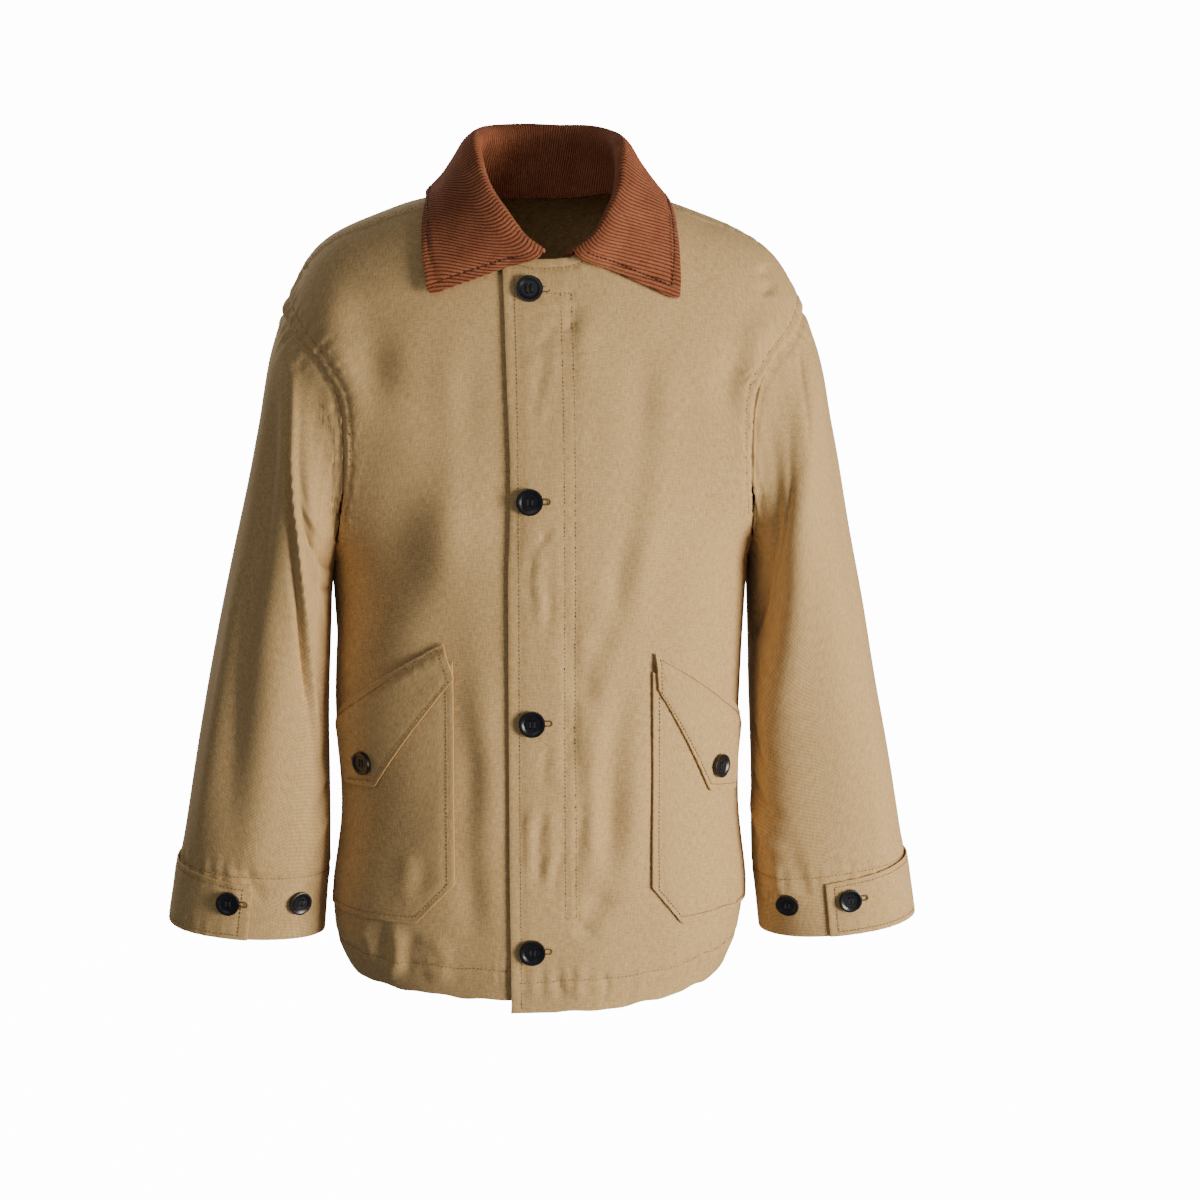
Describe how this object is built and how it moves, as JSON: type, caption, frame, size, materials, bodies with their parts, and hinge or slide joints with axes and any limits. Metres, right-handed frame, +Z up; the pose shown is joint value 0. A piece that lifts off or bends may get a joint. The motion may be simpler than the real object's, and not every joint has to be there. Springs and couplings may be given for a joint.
{
  "type": "chore jacket",
  "caption": "Tan cotton twill chore jacket with a rust corduroy collar, slanted-flap patch pockets, cuff tabs and dark buttons, buttoned up in its worn shape.",
  "frame": {"origin": "middle of the neck opening, at the height of the shoulders' high points, where the wearer's shoulders hold the jacket", "axes": "+X towards the wearer's left, +Y towards the wearer's back, +Z up; the front with the buttons faces -Y"},
  "size_m": [0.6796, 0.2649, 0.7605],
  "materials": {
    "cotton_twill": "matte tan cotton twill with a slightly napped face",
    "corduroy": "rust-brown wide-wale corduroy pile",
    "button_resin": "dark navy-black resin, low sheen"
  },
  "bodies": {
    "root": {"front_left": "cotton_twill", "front_right": "cotton_twill", "back": "cotton_twill", "sleeve_left": "cotton_twill", "sleeve_right": "cotton_twill", "cuff_tab_left": "cotton_twill", "cuff_tab_right": "cotton_twill", "pocket_left": "cotton_twill", "pocket_right": "cotton_twill", "pocket_flap_left": "cotton_twill", "pocket_flap_right": "cotton_twill", "collar": "corduroy", "button_flap_left": "button_resin", "button_flap_right": "button_resin", "button_tab_left": "button_resin", "button_tab_right": "button_resin", "button_spare_left": "button_resin", "button_spare_right": "button_resin", "button_front_1": "button_resin", "button_front_2": "button_resin", "button_front_3": "button_resin", "button_front_4": "button_resin"}
  },
  "joints": []
}
